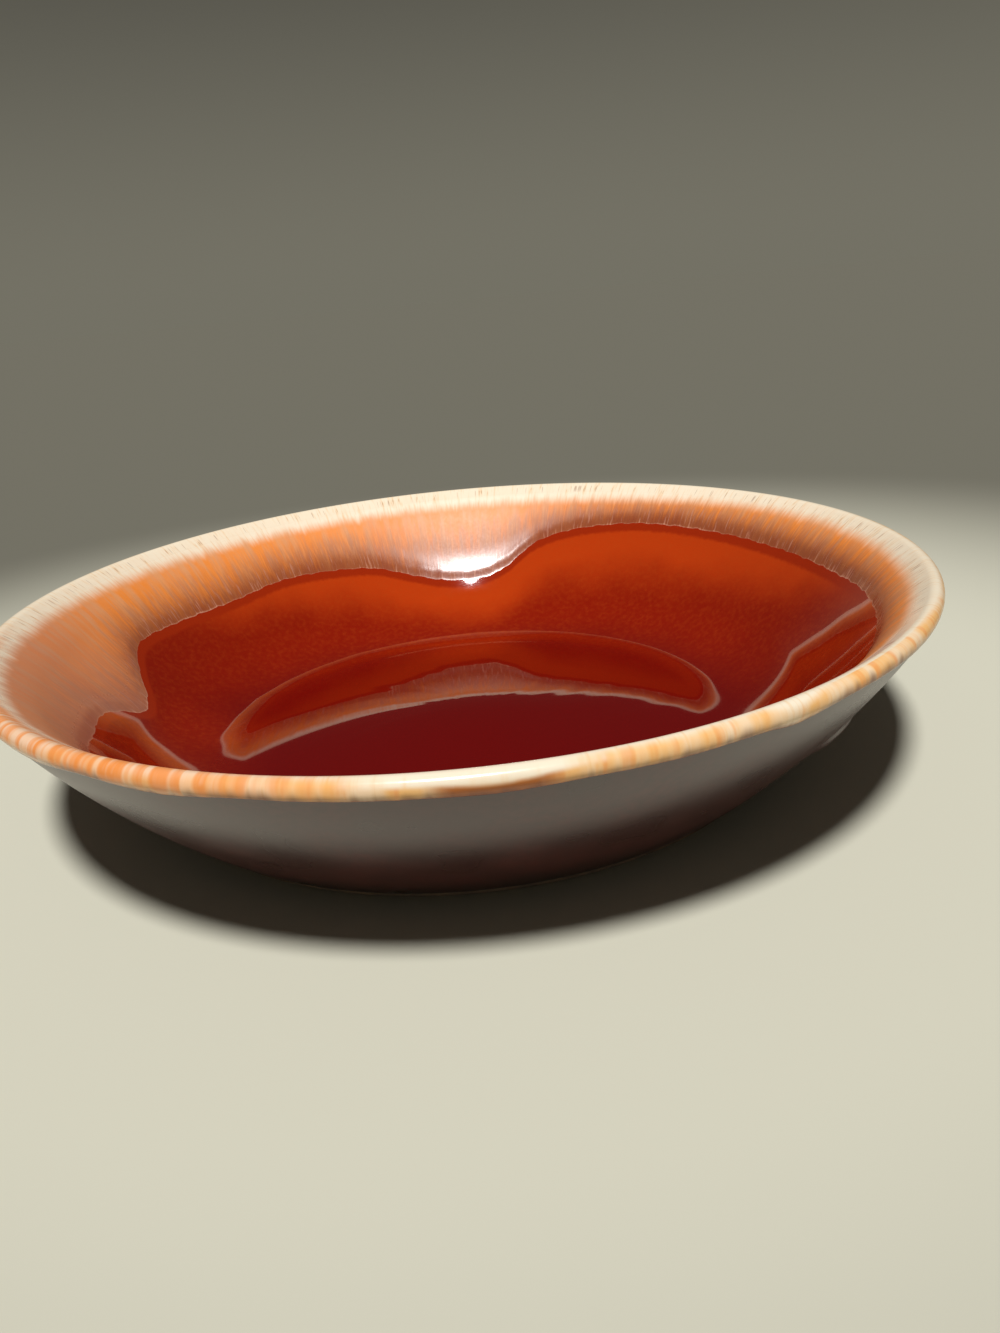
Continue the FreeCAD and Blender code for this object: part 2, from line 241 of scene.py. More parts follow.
class Section:
    """A chain of stretches from the top of the lip."""

    def __init__(self, stretches: Sequence[Arc | Straight]) -> None:
        """Keep the stretches in their order."""
        self.stretches = list(stretches)
        self.length = sum(stretch.length for stretch in self.stretches)

    def at(self, run: float, depth: float = 0.0) -> Pair:
        """Place over the clay.

        Args:
            run: distance along the clay from the top of the lip.
            depth: thickness of glaze over it.

        Returns:
            Radius and height.
        """
        left = min(max(run, 0.0), self.length)
        for stretch in self.stretches[:-1]:
            if left <= stretch.length:
                break
            left -= stretch.length
        else:
            stretch = self.stretches[-1]
        across, up, angle = stretch.at(min(left, stretch.length))
        return across + depth * math.cos(angle), up + depth * math.sin(angle)

    def run_to(self, measure: Measure, limit: float) -> float:
        """Find by halving where the section comes in or down to a limit.

        Args:
            measure: what the limit is, a radius or a height.
            limit: the limit.

        Returns:
            The run there.
        """
        low, high = 0.0, self.length
        for _ in range(HALVINGS):
            middle = (low + high) / 2
            if self.at(middle)[measure.value] > limit:
                low = middle
            else:
                high = middle
        return low


# Waves that go once round the bowl

# Inner drip edge: azimuth, and run in from the rim as a share of drip_reach
DRIP_EDGE_SHARES = (
    (15, 0.44), (30, 0.42), (44, 0.41), (54, 0.44), (62, 0.50), (68, 0.60), (73, 0.77),
    (79, 0.87), (87, 0.86), (93, 0.79), (101, 0.67), (110, 0.62), (120, 0.60), (132, 0.64),
    (146, 0.63), (157, 0.64), (162, 0.77), (167, 0.93), (172, 0.98), (177, 0.86), (182, 0.77),
    (192, 0.73), (201, 0.65), (215, 0.58), (228, 0.55), (241, 0.63), (252, 0.78), (261, 0.81),
    (271, 0.70), (284, 0.58), (300, 0.51), (316, 0.46), (330, 0.43), (346, 0.42), (360, 0.44),
)
# Outer edge: azimuth, and height as a share of skirt_wave
SKIRT_EDGE_SHARES = (
    (14, -0.2), (29, 0.4), (43, 0.1), (58, -0.6), (71, 0.2), (86, 0.6), (100, -0.3),
    (117, -0.8), (131, 0.3), (144, 0.5), (160, -0.4), (175, -0.1), (188, 0.5), (203, 0.2),
    (219, -0.9), (227, 0.7), (236, -0.5), (244, 0.6), (251, 0.2), (260, 0.0), (266, -0.4),
    (273, 0.3), (281, 0.1), (289, 0.4), (293, -0.7), (299, 0.8), (307, 0.9), (318, 0.3),
    (331, -0.3), (346, 0.1), (360, 0.5),
)


class RoundWave:
    """A smooth closed curve of a value against azimuth, through listed places."""

    def __init__(self, places: Sequence[Pair]) -> None:
        """Repeat the places once each way, so that the curve has no seam."""
        turns = (-360, 0, 360)
        self.places = [(turn + place, value) for turn in turns for place, value in places]

    def slope(self, index: int) -> float:
        """Slope of the curve at one of its places."""
        (low_turn, low), (high_turn, high) = self.places[index - 1], self.places[index + 1]
        return (high - low) / (high_turn - low_turn)

    def at(self, azimuth: float) -> float:
        """Read the curve.

        Args:
            azimuth: where to read it.

        Returns:
            Its value there.
        """
        turn = azimuth % 360
        index = next(i for i, place in enumerate(self.places) if place[0] > turn) - 1
        (first_turn, first), (last_turn, last) = self.places[index], self.places[index + 1]
        span = last_turn - first_turn
        share = (turn - first_turn) / span
        rise = smooth_step(share)
        lead_in = share * (1 - share) ** 2 * span * self.slope(index)
        lead_out = share ** 2 * (share - 1) * span * self.slope(index + 1)
        return first + rise * (last - first) + lead_in + lead_out


@dataclass(frozen=True)
class Ripple:
    """A gentle unevenness made of a few waves round the bowl that drift as they go down."""

    height: float
    counts: tuple[int, ...]
    drift: float

    def at(self, azimuth: float, run: float = 0.0) -> float:
        """Add the waves up.

        Args:
            azimuth: azimuth of the place.
            run: run of the place.

        Returns:
            Height of the unevenness there.
        """
        total = 0.0
        for order, count in enumerate(self.counts, start=1):
            turn = math.radians(count * azimuth) + order * order + run * self.drift * order
            total += math.sin(turn) / order
        return self.height * total


def smooth_step(share: float) -> float:
    """A share from 0 to 1, eased at both ends."""
    held = min(max(share, 0.0), 1.0)
    return held * held * (3 - 2 * held)


# Turning meshes


def start_clean() -> None:
    """Leave edit mode and deselect everything."""
    if bpy.context.object and bpy.context.object.mode != "OBJECT":
        bpy.ops.object.mode_set(mode="OBJECT")
    bpy.ops.object.select_all(action="DESELECT")


def turned_mesh(name: str, outline: Sequence[Pair], steps: int) -> bpy.types.Object:
    """Turn a closed outline once round the axis.

    Args:
        name: name of the piece.
        outline: radius and height of each corner, in order.
        steps: number of faces round the bowl.

    Returns:
        The piece. Its attribute "station" holds the number of the corner that a vertex came from.
    """
    start_clean()
    bpy.ops.mesh.primitive_circle_add(vertices=len(outline), radius=outline[0][0])
    piece = bpy.context.object
    piece.name = name
    piece.data.name = name
    stations = piece.data.attributes.new("station", "FLOAT", "POINT")
    for index, (radius, height) in enumerate(outline):
        piece.data.vertices[index].co = (radius, 0, height)
        stations.data[index].value = index
    turn = piece.modifiers.new("turn", "SCREW")
    turn.axis = "Z"
    turn.angle = math.tau
    turn.steps = turn.render_steps = steps
    turn.use_merge_vertices = True
    turn.merge_threshold = WELD
    bpy.ops.object.modifier_apply(modifier="turn")
    bpy.ops.object.mode_set(mode="EDIT")
    bpy.ops.mesh.select_all(action="SELECT")
    bpy.ops.mesh.delete_loose(use_verts=True, use_edges=True, use_faces=False)
    bpy.ops.mesh.select_all(action="SELECT")
    bpy.ops.mesh.normals_make_consistent(inside=False)
    bpy.ops.object.mode_set(mode="OBJECT")
    return piece


def azimuth_of(place: Vector) -> float:
    """Azimuth of a place."""
    return math.degrees(math.atan2(place.y, place.x))


def stations(piece: bpy.types.Object) -> Iterator[tuple[bpy.types.MeshVertex, int, float]]:
    """Go through a turned piece, with the corner that each vertex came from and its azimuth."""
    for vertex, station in zip(piece.data.vertices, piece.data.attributes["station"].data):
        yield vertex, round(station.value), azimuth_of(vertex.co)


def set_place(vertex: bpy.types.MeshVertex, radius: float, height: float) -> None:
    """Move a vertex to a radius and a height, at the azimuth that it has."""
    angle = math.atan2(vertex.co.y, vertex.co.x)
    vertex.co = (radius * math.cos(angle), radius * math.sin(angle), height)


def add_values(piece: bpy.types.Object, name: str, values: Sequence[float]) -> None:
    """Give a piece a value at each vertex, for its material to read."""
    attribute = piece.data.attributes.new(name, "FLOAT", "POINT")
    attribute.data.foreach_set("value", list(values))


def smooth(piece: bpy.types.Object, angle: float = 40.0) -> None:
    """Shade a piece smooth, but keep its sharp corners.

    Args:
        piece: the piece.
        angle: bend between two faces from which their corner stays sharp.
    """
    start_clean()
    piece.select_set(True)
    bpy.context.view_layer.objects.active = piece
    bpy.ops.object.shade_smooth_by_angle(angle=math.radians(angle))
    piece.select_set(False)


def even_runs(first: float, last: float, count: int) -> list[float]:
    """Evenly spaced runs, both ends among them."""
    return [first + (last - first) * index / (count - 1) for index in range(count)]


# Building materials


class Graph:
    """A node tree, written as short sums."""

    def __init__(self, tree: bpy.types.NodeTree) -> None:
        """Start with an empty tree."""
        self.tree = tree
        tree.nodes.clear()

    def add(self, kind: str, inputs: dict | None = None, **settings: object) -> bpy.types.Node:
        """Add a node.

        Args:
            kind: Blender's name of the node type.
            inputs: number or name of each input, with a value or a socket to link to it.
            settings: the node's own settings.

        Returns:
            The node.
        """
        node = self.tree.nodes.new(kind)
        for name, setting in settings.items():
            setattr(node, name, setting)
        for key, value in (inputs or {}).items():
            self.feed(node.inputs[key], value)
        return node

    def feed(self, socket: Socket, value: Value | Colour) -> None:
        """Link a socket to an input, or set the input's own value.

        Args:
            socket: the input.
            value: what goes in.
        """
        if isinstance(value, bpy.types.NodeSocket):
            self.tree.links.new(value, socket)
        else:
            socket.default_value = value

    def math(self, operation: str, *values: Value, clamp: bool = False) -> Socket:
        """Work out a sum.

        Args:
            operation: Blender's name of the sum.
            values: its one to three values.
            clamp: True to hold the result between 0 and 1.

        Returns:
            The result.
        """
        node = self.add("ShaderNodeMath", dict(enumerate(values)), operation=operation)
        node.use_clamp = clamp
        return node.outputs[0]

    def plus(self, *values: Value) -> Socket:
        """Values added up."""
        return reduce(lambda total, value: self.math("ADD", total, value), values)

    def times(self, *values: Value) -> Socket:
        """Values multiplied."""
        return reduce(lambda total, value: self.math("MULTIPLY", total, value), values)

    def step(self, value: Value, first: Value, last: Value) -> Socket:
        """An eased step, 0 at the first value and 1 at the last, whichever of them is larger."""
        inputs = {0: value, 1: first, 2: last, 3: 0.0, 4: 1.0}
        return self.add("ShaderNodeMapRange", inputs, interpolation_type="SMOOTHSTEP").outputs[0]

    def between(self, value: Value, first: float, last: float) -> Socket:
        """A value carried evenly from 0..1 to another range."""
        return self.add("ShaderNodeMapRange", {0: value, 3: first, 4: last}).outputs[0]

    def swing(self, value: Value, reach: float) -> Socket:
        """A value carried evenly from 0..1 to a reach on both sides of nought."""
        return self.between(value, -reach, reach)

    def band(self, value: Value, middle: Value, width: float) -> Socket:
        """A soft band, 1 at its middle and 0 a width away."""
        away = self.math("ABSOLUTE", self.math("SUBTRACT", value, middle))
        return self.step(away, width, 0.0)

    def mix(self, share: Value, first: Socket | Colour, last: Socket | Colour) -> Socket:
        """A mixture of two colours."""
        node = self.add("ShaderNodeMix", {0: share, 6: first, 7: last}, data_type="RGBA")
        return node.outputs[2]

    def attribute(self, name: str) -> Socket:
        """The value that a piece keeps at each vertex."""
        return self.add("ShaderNodeAttribute", attribute_name=name).outputs["Fac"]

    def place(self) -> Socket:
        """Place on the object."""
        return self.add("ShaderNodeTexCoord").outputs["Object"]

    def across(self) -> list[Socket]:
        """Place on the object along X and along Y."""
        return self.add("ShaderNodeSeparateXYZ", {0: self.place()}).outputs[:2]

    def group(self, tree: bpy.types.NodeTree, **inputs: float) -> Socket:
        """The first output of a shared effect."""
        return self.add("ShaderNodeGroup", inputs, node_tree=tree).outputs[0]

    def relief(self, shader: bpy.types.Node, height: Socket, strength: float, rise: float) -> None:
        """Give a shader a fine relief."""
        inputs = {"Strength": strength, "Distance": rise, "Height": height}
        self.feed(shader.inputs["Normal"], self.add("ShaderNodeBump", inputs).outputs[0])


def colour(red: float, green: float, blue: float) -> Colour:
    """A colour of a material, as shares of the light that it gives back."""
    return (red, green, blue, 1.0)


def new_effect(name: str, inputs: dict[str, float], output: str) -> tuple[Graph, dict]:
    """Start a shared effect.

    Args:
        name: its name.
        inputs: name and usual value of each input.
        output: name of the value that it gives.

    Returns:
        Its node tree and its input and output nodes under "in" and "out".
    """
    tree = bpy.data.node_groups.new(name, "ShaderNodeTree")
    for title, value in inputs.items():
        socket = tree.interface.new_socket(title, in_out="INPUT", socket_type="NodeSocketFloat")
        socket.default_value = value
    tree.interface.new_socket(output, in_out="OUTPUT", socket_type="NodeSocketFloat")
    graph = Graph(tree)
    return graph, {"in": graph.add("NodeGroupInput"), "out": graph.add("NodeGroupOutput")}


class Effects:
    """Effects that several finishes share."""

    def __init__(self, clay: ClayShape) -> None:
        """Build them once.

        Args:
            clay: the shape that the streaks run down.
        """
        self.streaks = self.build_streaks(clay.rim_radius)
        self.mottle = self.build_mottle()
        self.side = self.build_side()

    @staticmethod
    def build_streaks(rim_radius: float) -> bpy.types.NodeTree:
        """Build streaks that run from the lip to the middle, of a width and a length.

        Args:
            rim_radius: radius at which their width is measured.

        Returns:
            The effect.
        """
        sizes = {"Width": MM, "Length": 10 * MM, "Shift": 0.0}
        graph, ends = new_effect("streaks in the glaze", sizes, "Streak")
        wide, long, shift = (ends["in"].outputs[name] for name in sizes)
        across = graph.across()
        reach = graph.math("SQRT", graph.plus(*(graph.times(value, value) for value in across)))
        turns = graph.math("DIVIDE", rim_radius, graph.times(reach, wide))
        down = graph.math("DIVIDE", graph.attribute("run"), long)
        ways = [graph.times(value, turns) for value in across] + [graph.plus(down, shift)]
        vector = graph.add("ShaderNodeCombineXYZ", dict(enumerate(ways))).outputs[0]
        noise = graph.add("ShaderNodeTexNoise", {"Vector": vector, "Scale": 1.0, "Detail": 2.0})
        graph.feed(ends["out"].inputs[0], noise.outputs[0])
        return graph.tree

    @staticmethod
    def build_side() -> bpy.types.NodeTree:
        """Build one side of the bowl: 1 within an angle of an azimuth and 0 beyond a wider one.

        Returns:
            The effect.
        """
        sizes = {"Azimuth": 0.0, "Near": 10.0, "Far": 20.0}
        graph, ends = new_effect("side of the bowl", sizes, "Side")
        middle, near, far = (graph.math("RADIANS", ends["in"].outputs[name]) for name in sizes)
        here = graph.math("ARCTAN2", *reversed(graph.across()))
        aside = graph.math("COSINE", graph.math("SUBTRACT", here, middle))
        limits = graph.math("COSINE", far), graph.math("COSINE", near)
        graph.feed(ends["out"].inputs[0], graph.step(aside, *limits))
        return graph.tree

    @staticmethod
    def build_mottle() -> bpy.types.NodeTree:
        """Build soft flecks of a size.

        Returns:
            The effect.
        """
        graph, ends = new_effect("mottle in the glaze", {"Size": 3 * MM, "Detail": 3.0}, "Mottle")
        scale = graph.math("DIVIDE", 1.0, ends["in"].outputs["Size"])
        inputs = {"Vector": graph.place(), "Scale": scale, "Detail": ends["in"].outputs["Detail"]}
        noise = graph.add("ShaderNodeTexNoise", inputs)
        graph.feed(ends["out"].inputs[0], noise.outputs[0])
        return graph.tree


@dataclass(frozen=True)
class Stretch:
    """A stretch of the bowl: full within an angle of an azimuth and gone beyond a wider one."""

    azimuth: float
    near: float
    far: float

    def mask(self, graph: Graph, effects: Effects) -> Socket:
        """The stretch as a mask."""
        return graph.group(effects.side, Azimuth=self.azimuth, Near=self.near, Far=self.far)


def new_material(name: str) -> tuple[Graph, bpy.types.Node]:
    """Start a material.

    Args:
        name: its name.

    Returns:
        Its node tree and its shader.
    """
    material = bpy.data.materials.new(name)
    material.use_nodes = True
    graph = Graph(material.node_tree)
    shader = graph.add("ShaderNodeBsdfPrincipled")
    graph.add("ShaderNodeOutputMaterial", {"Surface": shader.outputs[0]})
    return graph, shader


def dress(piece: bpy.types.Object, material: bpy.types.Material) -> None:
    """Give a piece one material."""
    piece.data.materials.clear()
    piece.data.materials.append(material)


# Finishes


@dataclass(frozen=True)
class InsideBrown:
    """Clear glossy brown glaze, thin and orange on the wall and deep red where it pools, with a
    painted shadow under the cream's drip edge.
    """

    effects: Effects
    name: str = "brown glaze inside"
    # Painted shadow: the dark red line just below the cream coat's proud drip edge
    line: Colour = colour(0.34, 0.022, 0.002)
    wall: Colour = colour(0.50, 0.044, 0.003)
    low_wall: Colour = colour(0.25, 0.009, 0.001)
    floor: Colour = colour(0.135, 0.001, 0.001)
    fleck: Colour = colour(0.46, 0.060, 0.006)
    roughness: Pair = (0.021, 0.039)
    ior: float = 1.66
    # Distances below the drip edge
    shadow_line_ends: Pair = (2.6 * MM, 1.2 * MM)
    shadow_line_wander: float = 0.5 * MM
    wall_ends: Pair = (-3.0 * MM, 19.0 * MM)
    floor_ends: Pair = (19.0 * MM, 62.0 * MM)
    blotch_size: float = 16.0 * MM
    blotch_drift: float = 14.0 * MM
    fleck_size: float = 1.4 * MM
    fleck_ends: Pair = (0.35, 0.85)
    fleck_share: float = 0.24
    # Painted light and shade: direction of the side that faces the lamp, where the wall is made
    # lighter and more orange, and how far that moves its colours
    lit_side: tuple[float, float, float] = (0.42, 0.91, 0.0)
    side_ends: Pair = (-10.0 * MM, 95.0 * MM)
    side_shifts: Pair = (14.0 * MM, -10.0 * MM)

    def material(self) -> bpy.types.Material:
        """Build the material.

        Returns:
            The material.
        """
        graph, shader = new_material(self.name)
        down = graph.attribute("edge")
        flecks = graph.group(self.effects.mottle, Size=self.fleck_size, Detail=3.0)
        # Painted shadow: a dark line just below the drip edge, as if cast by the cream coat's proud
        # edge
        ragged = graph.plus(down, graph.swing(flecks, self.shadow_line_wander))
        painted_shadow = graph.step(ragged, *self.shadow_line_ends)
        tone = graph.mix(painted_shadow, self.pooled(graph, down, flecks), self.line)
        graph.feed(shader.inputs["Base Color"], tone)
        graph.feed(shader.inputs["Roughness"], graph.between(flecks, *self.roughness))
        shader.inputs["IOR"].default_value = self.ior
        return bpy.data.materials[self.name]

    def pooled(self, graph: Graph, down: Socket, flecks: Socket) -> Socket:
        """Colour the coat by its depth, which grows down the wall and over the floor, with painted
        light on the side facing the lamp and painted shade away from it.

        Args:
            graph: the material's tree.
            down: distance below the drip edge.
            flecks: fine flecks.

        Returns:
            The colour.
        """
        blotch = graph.group(self.effects.mottle, Size=self.blotch_size, Detail=4.0)
        drift = graph.times(graph.math("SUBTRACT", blotch, 0.5), self.blotch_drift)
        # Painted light and shade: the colours move up the wall on the side facing the lamp and down
        # it on the far side
        towards = {0: graph.place(), 1: self.lit_side}
        aside = graph.add("ShaderNodeVectorMath", towards, operation="DOT_PRODUCT").outputs["Value"]
        shift = graph.between(graph.step(aside, *self.side_ends), *self.side_shifts)
        uneven = graph.plus(down, drift, shift)
        tone = graph.mix(graph.step(uneven, *self.wall_ends), self.wall, self.low_wall)
        tone = graph.mix(graph.step(uneven, *self.floor_ends), tone, self.floor)
        fade = graph.step(uneven, *reversed(self.floor_ends))
        seen = graph.times(graph.step(flecks, *self.fleck_ends), fade, self.fleck_share)
        return graph.mix(seen, tone, self.fleck)


@dataclass(frozen=True)
class OutsideBrown:
    """Dark glossy brown glaze, with maroon where it is thin."""

    effects: Effects
    name: str
    deep: Colour = colour(0.045, 0.012, 0.010)
    thin: Colour = colour(0.085, 0.018, 0.014)
    roughness: Pair = (0.232, 0.348)
    ior: float = 1.75
    blotch_size: float = 14.0 * MM
    blotch_ends: Pair = (0.30, 0.74)
    fleck_size: float = 1.6 * MM
    fleck_ends: Pair = (0.2, 0.8)
    relief_strength: float = 0.06
    relief_rise: float = 0.02 * MM

    def material(self) -> bpy.types.Material:
        """Build the material.

        Returns:
            The material.
        """
        graph, shader = new_material(self.name)
        blotch = graph.group(self.effects.mottle, Size=self.blotch_size, Detail=1.0)
        flecks = graph.group(self.effects.mottle, Size=self.fleck_size, Detail=2.0)
        share = graph.times(graph.step(blotch, *self.blotch_ends),
                            graph.step(flecks, *self.fleck_ends))
        graph.feed(shader.inputs["Base Color"], graph.mix(share, self.deep, self.thin))
        graph.feed(shader.inputs["Roughness"], graph.between(blotch, *self.roughness))
        graph.relief(shader, flecks, self.relief_strength, self.relief_rise)
        shader.inputs["IOR"].default_value = self.ior
        return bpy.data.materials[self.name]


class RimValues(NamedTuple):
    """Values that the colours of the rim follow from place to place.

    The first three are distances: from the top of the lip, and to the coat's edge inside and
    outside. The share goes from 0 on the lip to 1 at the drip edge, and outer is 1 on the outer
    half of the lip. The others are streaks and flecks.
    """

    run: Socket
    edge: Socket
    outside: Socket
    share: Socket
    outer: Socket
    fine: Socket
    middling: Socket
    broad: Socket
    flecks: Socket


@dataclass(frozen=True)
class CreamRim:
    """Cream glaze that runs from the lip into orange, and frothy brown at its drip edge."""

    effects: Effects
    name: str = "cream glaze on the rim"
    cream: Colour = colour(0.97, 0.84, 0.64)
    cream_shade: Colour = colour(0.92, 0.66, 0.40)
    apricot: Colour = colour(0.99, 0.53, 0.17)
    peach: Colour = colour(0.92, 0.31, 0.075)
    orange: Colour = colour(0.95, 0.285, 0.045)
    tan: Colour = colour(0.82, 0.36, 0.15)
    low: Colour = colour(0.29, 0.060, 0.024)
    pale: Colour = colour(0.78, 0.38, 0.25)
    burnt: Colour = colour(0.21, 0.045, 0.006)
    # Painted reflection: a pale pink tint that stands for the glossy band's reflection on the left
    painted_reflection: Colour = colour(0.50, 0.22, 0.165)
    honey: Colour = colour(0.50, 0.135, 0.010)
    band_roughness: float = 0.48
    edge_roughness: float = 0.17
    lip_roughness: float = 0.20
    roughness_swing: float = 0.05
    relief_strength: float = 0.3
    relief_rise: float = 0.03 * MM
    relief_streaks: float = 0.8
    # Stretches of the rim that differ from the rest
    # Painted shade: the band is browner towards the right and lighter on the left
    shaded_side: Stretch = Stretch(10.0, 5.0, 175.0)
    # Painted reflection on the left of the band
    reflection_side: Stretch = Stretch(203.0, 12.0, 52.0)
    # Painted highlight: the cream reaches further down the back of the lip, so the floor mirrors a
    # brighter lip
    highlight_cream_side: Stretch = Stretch(100.0, 20.0, 85.0)
    peach_side: Stretch = Stretch(216.0, 14.0, 44.0)
    # Painted highlight: a patch of pure cream on the front lip
    highlight_patch_side: Stretch = Stretch(264.0, 1.0, 13.0)
    honey_side: Stretch = Stretch(265.5, 3.0, 6.0)
    # Shares of the way from the lip to the drip edge
    froth_ends: Pair = (0.30, 0.94)
    froth_fine_swing: float = 0.20
    froth_middling_swing: float = 0.12
    shade_froth_shifts: Pair = (-0.10, 0.04)
    satin_ends: Pair = (0.60, 0.92)
    # Distances from the top of the lip
    cream_ends: Pair = (8.2 * MM, 3.2 * MM)
    cream_middling_swing: float = 1.6 * MM
    cream_fine_swing: float = 1.0 * MM
    highlight_cream_shifts: Pair = (-0.8 * MM, 1.4 * MM)
    mark_starts: Pair = (0.8 * MM, 1.8 * MM)
    mark_ends: Pair = (4.5 * MM, 2.5 * MM)
    peach_ends: Pair = (4.0 * MM, 1.5 * MM)
    highlight_patch_ends: Pair = (2.6 * MM, 1.2 * MM)
    gloss_ends: Pair = (3.0 * MM, 6.0 * MM)
    # Distances to the coat's edge, inside for the painted highlight line and outside for the others
    highlight_line_width: float = 0.9 * MM
    outer_ends: Pair = (4.2 * MM, 2.9 * MM)
    highlight_patch_starts: Pair = (2.2 * MM, 2.9 * MM)
    honey_ends: Pair = (3.0 * MM, 2.3 * MM)
    skirt_ends: Pair = (2.2 * MM, 0.5 * MM)
    skirt_swing: float = 1.1 * MM
    # Levels of the streaks at which each kind of mark starts and is full
    tan_levels: Pair = (0.35, 0.75)
    pale_levels: Pair = (0.54, 0.72)
    shade_levels: Pair = (0.48, 0.80)
    dash_levels: Pair = (0.64, 0.72)
    patch_levels: Pair = (0.52, 0.80)
    stroke_levels: Pair = (0.50, 0.72)
    peach_levels: Pair = (0.34, 0.60)
    highlight_patch_levels: Pair = (0.15, 1.0)
    # Strengths of the marks
    pale_shares: Pair = (0.15, 0.42)
    highlight_line_share: float = 0.75
    reflection_share: float = 0.50
    dash_share: float = 0.35
    crack_share: float = 0.5
    crack_level: float = 0.5
    crack_width: float = 0.010
    patch_streaks: float = 0.35
    patch_shares: Pair = (0.35, 0.95)
    highlight_patch_swing: float = 1.0
    stroke_share: float = 0.65
    peach_shares: Pair = (0.40, 1.0)
    skirt_share: float = 0.9

    def material(self) -> bpy.types.Material:
        """Build the material.

        Returns:
            The material.
        """
        graph, shader = new_material(self.name)
        over = self.values(graph)
        tone = self.band(graph, over)
        for layer in (self.lip, self.marks, self.outer_half, self.front, self.skirt):
            tone = layer(graph, over, tone)
        graph.feed(shader.inputs["Base Color"], tone)
        graph.feed(shader.inputs["Roughness"], self.roughness(graph, over))
        height = graph.plus(graph.times(over.fine, self.relief_streaks), over.flecks)
        graph.relief(shader, height, self.relief_strength, self.relief_rise)
        return bpy.data.materials[self.name]

    def values(self, graph: Graph) -> RimValues:
        """Gather the values that the colours follow.

        Args:
            graph: the material's tree.

        Returns:
            The values.
        """
        streaks = self.effects.streaks
        run, edge, outside = (graph.attribute(name) for name in ("run", "edge", "outside"))
        return RimValues(
            run, edge, outside,
            share=graph.math("DIVIDE", run, graph.plus(run, edge)),
            outer=graph.step(outside, *self.outer_ends),
            fine=graph.group(streaks, Width=0.7 * MM, Length=6 * MM, Shift=0.0),
            middling=graph.group(streaks, Width=2.4 * MM, Length=14 * MM, Shift=7.0),
            broad=graph.group(streaks, Width=7 * MM, Length=400 * MM, Shift=21.0),
            flecks=graph.group(self.effects.mottle, Size=0.9 * MM, Detail=2.0),
        )

    def band(self, graph: Graph, over: RimValues) -> Socket:
        """Colour the band from orange to frothy brown, with a painted highlight as a pale line along
        its drip edge.

        Args:
            graph: the material's tree.
            over: the values that the colours follow.

        Returns:
            The colour.
        """
        # Painted shade: more froth-brown on the right side of the band, less on the left
        shift = graph.between(self.shaded_side.mask(graph, self.effects), *self.shade_froth_shifts)
        uneven = graph.plus(over.share, graph.swing(over.fine, self.froth_fine_swing),
                            graph.swing(over.middling, self.froth_middling_swing), shift)
        low = graph.step(uneven, *self.froth_ends)
        tone = graph.mix(graph.step(over.middling, *self.tan_levels), self.orange, self.tan)
        tone = graph.mix(low, tone, self.low)
        light = graph.step(over.fine, *self.pale_levels)
        tone = graph.mix(graph.times(light, graph.between(low, *self.pale_shares)), tone, self.pale)
        # Painted highlight: a pale line along the coat's proud drip edge
        middle = graph.between(over.fine, 0.0, self.highlight_line_width)
        line = graph.band(over.edge, middle, self.highlight_line_width)
        tone = graph.mix(graph.times(line, self.highlight_line_share), tone, self.pale)
        # Painted reflection: a pale pinkish zone over the band on its left side
        painted_reflection = self.reflection_side.mask(graph, self.effects)
        return graph.mix(graph.times(painted_reflection, self.reflection_share), tone, self.painted_reflection)

    def lip(self, graph: Graph, over: RimValues, tone: Socket) -> Socket:
        """Lay cream over the lip, reaching further down at the back as a painted highlight.

        Args:
            graph: the material's tree.
            over: the values that the colours follow.
            tone: the colour below.

        Returns:
            The colour.
        """
        # Painted highlight: more cream at the back of the lip, less elsewhere
        shift = graph.between(self.highlight_cream_side.mask(graph, self.effects), *self.highlight_cream_shifts)
        reach = graph.plus(over.run, graph.swing(over.middling, self.cream_middling_swing),
                           graph.swing(over.fine, self.cream_fine_swing))
        share = graph.step(graph.math("SUBTRACT", reach, shift), *self.cream_ends)
        shade = graph.step(over.fine, *self.shade_levels)
        return graph.mix(share, tone, graph.mix(shade, self.cream, self.cream_shade))

    def marks(self, graph: Graph, over: RimValues, tone: Socket) -> Socket:
        """Draw short burnt dashes and a few long cracks on the inner half of the lip.

        Args:
            graph: the material's tree.
            over: the values that the colours follow.
            tone: the colour below.

        Returns:
            The colour.
        """
        near = graph.math("SUBTRACT", graph.step(over.run, *self.mark_ends), over.outer, clamp=True)
        near = graph.times(near, graph.step(over.run, *self.mark_starts))
        dashes = graph.times(graph.step(over.fine, *self.dash_levels), near, self.dash_share)
        tone = graph.mix(dashes, tone, self.burnt)
        cracks = graph.band(over.broad, self.crack_level, self.crack_width)
        return graph.mix(graph.times(cracks, near, self.crack_share), tone, self.burnt)

    def outer_half(self, graph: Graph, over: RimValues, tone: Socket) -> Socket:
        """Warm the outer half of the lip with apricot patches and peach strokes.

        Args:
            graph: the material's tree.
            over: the values that the colours follow.
            tone: the colour below.

        Returns:
            The colour.
        """
        patches = graph.plus(graph.times(over.middling, self.patch_streaks), over.broad)
        patch = graph.between(graph.step(patches, *self.patch_levels), *self.patch_shares)
        tone = graph.mix(graph.times(over.outer, patch), tone, self.apricot)
        strokes = graph.step(over.middling, *self.stroke_levels)
        tone = graph.mix(graph.times(over.outer, strokes, self.stroke_share), tone, self.peach)
        side = self.peach_side.mask(graph, self.effects)
        warm = graph.between(graph.step(over.middling, *self.peach_levels), *self.peach_shares)
        near = graph.step(over.run, *self.peach_ends)
        return graph.mix(graph.times(side, warm, near), tone, self.peach)

